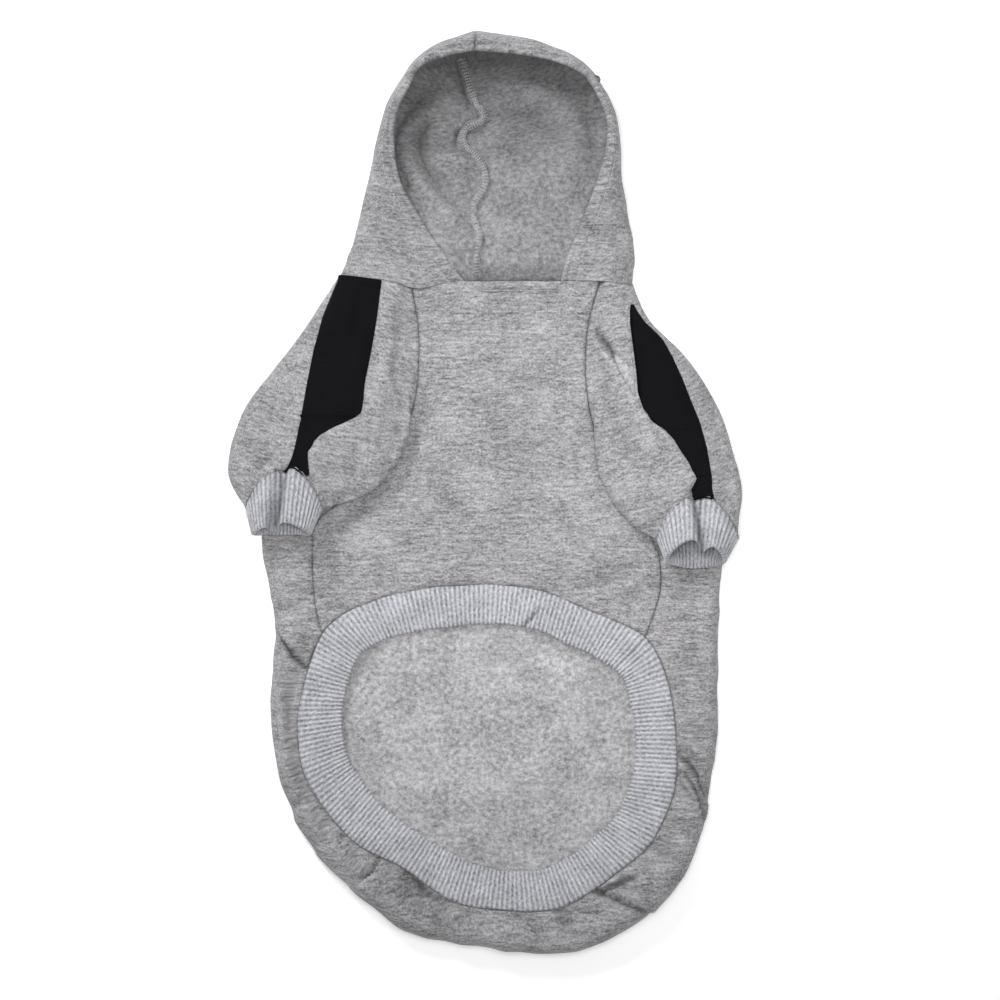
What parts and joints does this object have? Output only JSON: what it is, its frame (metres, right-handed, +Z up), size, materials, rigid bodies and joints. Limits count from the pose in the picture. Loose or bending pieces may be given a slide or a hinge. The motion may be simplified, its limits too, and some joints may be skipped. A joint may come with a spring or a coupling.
{
  "type": "dog hoodie",
  "caption": "Hooded fleece garment for a dog, with raglan sleeves, ribbed cuffs and a ribbed hem ring, laid flat with its belly side up.",
  "frame": {"origin": "middle of the outline on the surface the garment lies on", "axes": "+X across the garment, +Y from the tail to the hood, +Z up out of the surface, towards the belly side"},
  "size_m": [0.2934, 0.5275, 0.0336],
  "materials": {
    "fleece_grey": "heather grey sweatshirt knit, brushed inside",
    "rib_grey": "light grey rib knit",
    "tape_black": "black woven tape"
  },
  "bodies": {
    "root": {"back_panel": "fleece_grey", "belly_panel": "fleece_grey", "neck_band": "fleece_grey", "hem_rib": "rib_grey", "sleeve_left": "fleece_grey", "sleeve_right": "fleece_grey", "sleeve_band_left": "tape_black", "sleeve_band_right": "tape_black", "cuff_left": "rib_grey", "cuff_right": "rib_grey", "hood_left": "fleece_grey", "hood_right": "fleece_grey", "hood_seam": "fleece_grey"}
  },
  "joints": []
}
